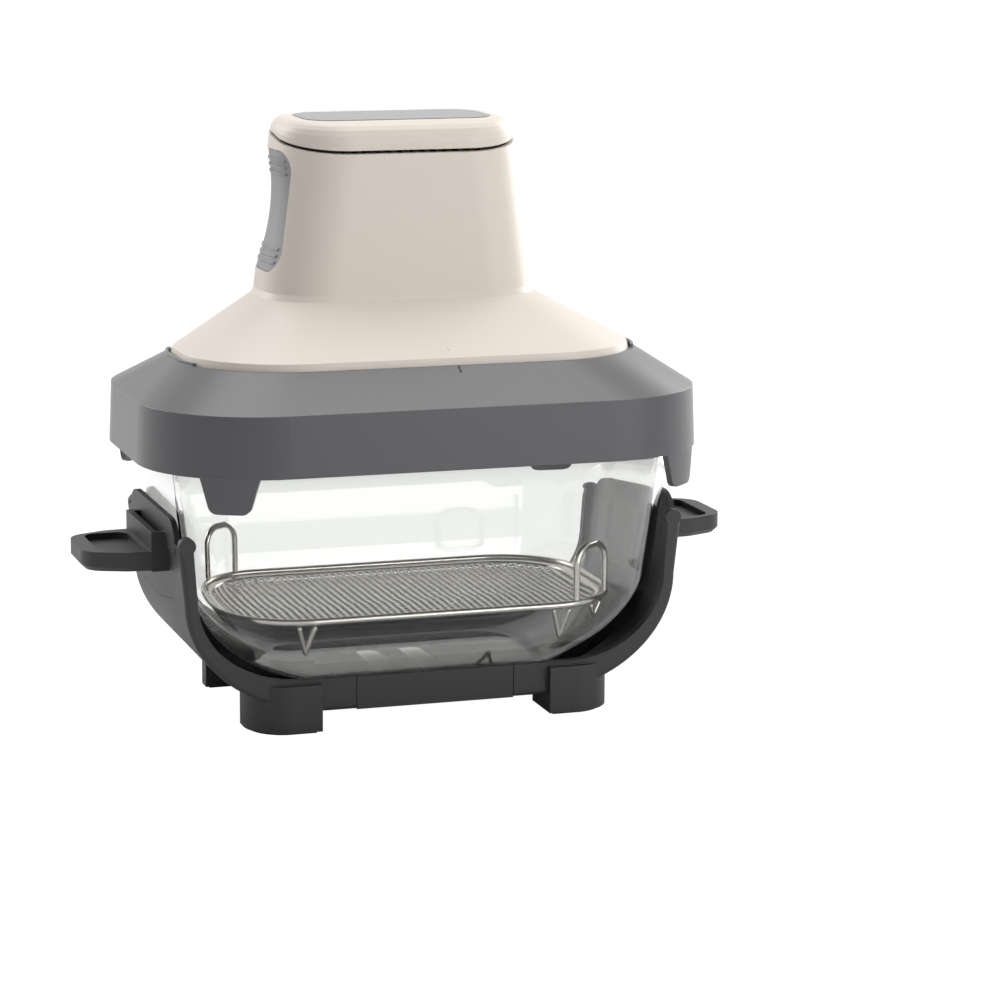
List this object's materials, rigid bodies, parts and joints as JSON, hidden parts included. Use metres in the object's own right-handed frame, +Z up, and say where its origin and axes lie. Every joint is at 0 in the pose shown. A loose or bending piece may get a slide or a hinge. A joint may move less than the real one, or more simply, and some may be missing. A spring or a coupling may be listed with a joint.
{
  "type": "air fryer oven",
  "caption": "Worktop air fryer: lift-off heating pod on an adapter ring over a glass bowl, held in a two-handled pull-apart cradle with a wire-legged crisper tray.",
  "frame": {"origin": "bottom centre of the assembled appliance, on the worktop between the four feet", "axes": "+Z up, front with the alignment mark towards -Y, handles along X, interlock side +X"},
  "size_m": [0.348, 0.19, 0.307],
  "materials": {
    "base_plastic": "dark grey moulded nylon, fine satin grain",
    "pad_rubber": "black silicone, matt",
    "bowl_glass": "clear borosilicate glass, polished",
    "crisper_steel": "bright nickel-plated steel",
    "adapter_plastic": "mid grey moulded plastic, satin",
    "inner_steel": "plain pressed stainless steel",
    "pod_cream": "warm cream moulded plastic, soft satin",
    "panel_grey": "smooth grey touch panel",
    "grip_grey": "mid grey soft-touch rubber",
    "dark_plastic": "black moulded plastic",
    "coil_metal": "dark oxidised heater sheath",
    "insulation_wool": "pale glass wool blanket",
    "motor_metal": "zinc-plated motor can with dark stack",
    "board_green": "green circuit board",
    "spring_steel": "bright spring wire"
  },
  "bodies": {
    "base": {"bridge": "base_plastic", "bowl_pads": "pad_rubber"},
    "left_cradle": {"left_bracket": "base_plastic", "left_insert": "base_plastic", "left_foot_pads": "pad_rubber", "left_tab_pad": "pad_rubber"},
    "right_cradle": {"right_bracket": "base_plastic", "right_insert": "base_plastic", "right_foot_pads": "pad_rubber", "right_tab_pad": "pad_rubber"},
    "bowl": {"glass_bowl": "bowl_glass"},
    "crisper_tray": {"crisper_sheet": "crisper_steel", "crisper_rim": "crisper_steel", "crisper_legs": "crisper_steel", "crisper_handles": "crisper_steel"},
    "adapter": {"adapter_ring": "adapter_plastic", "adapter_collar": "dark_plastic", "interlock_post": "dark_plastic", "bowl_gasket": "pad_rubber", "adapter_liner": "inner_steel"},
    "pod": {"pod_housing": "pod_cream", "top_cap": "pod_cream", "touch_panel": "panel_grey", "vent_neck": "dark_plastic", "left_grip": "grip_grey", "right_grip": "grip_grey", "base_frame": "dark_plastic", "heat_pan": "inner_steel", "insulation": "insulation_wool", "heating_coil": "coil_metal", "coil_guard": "inner_steel", "motor_plate": "inner_steel", "fan_motor": "motor_metal", "power_board": "board_green", "control_board": "board_green", "temperature_sensor": "inner_steel", "thermal_cutout": "dark_plastic", "microswitch": "dark_plastic", "cord_gland": "dark_plastic", "frame_screws": "inner_steel"},
    "fan_rotor": {"convection_fan": "inner_steel", "motor_shaft": "inner_steel", "cooling_fan": "dark_plastic"},
    "interlock": {"interlock_plunger": "dark_plastic", "plunger_spring": "spring_steel"}
  },
  "joints": [
    {"name": "left_cradle_slide", "type": "slide", "parent": "base", "child": "left_cradle", "axis": [-1, 0, 0], "range_m": [0, 0.018]},
    {"name": "right_cradle_slide", "type": "slide", "parent": "base", "child": "right_cradle", "axis": [1, 0, 0], "range_m": [0, 0.018]},
    {"name": "bowl_lift", "type": "slide", "parent": "base", "child": "bowl", "axis": [0, 0, 1], "range_m": [0, 0.1]},
    {"name": "tray_lift", "type": "slide", "parent": "bowl", "child": "crisper_tray", "axis": [0, 0, 1], "range_m": [0, 0.055]},
    {"name": "adapter_lift", "type": "slide", "parent": "bowl", "child": "adapter", "axis": [0, 0, 1], "range_m": [0, 0.06]},
    {"name": "pod_lift", "type": "slide", "parent": "adapter", "child": "pod", "axis": [0, 0, 1], "range_m": [0, 0.06]},
    {"name": "fan_spin", "type": "hinge", "parent": "pod", "child": "fan_rotor", "pos_m": [0, 0.009, 0.2], "axis": [0, 0, 1], "continuous": true},
    {"name": "interlock_press", "type": "slide", "parent": "pod", "child": "interlock", "axis": [0, 0, 1], "range_m": [0, 0.0025], "stiffness_N_per_m": 300, "deforming": ["plunger_spring"]}
  ]
}
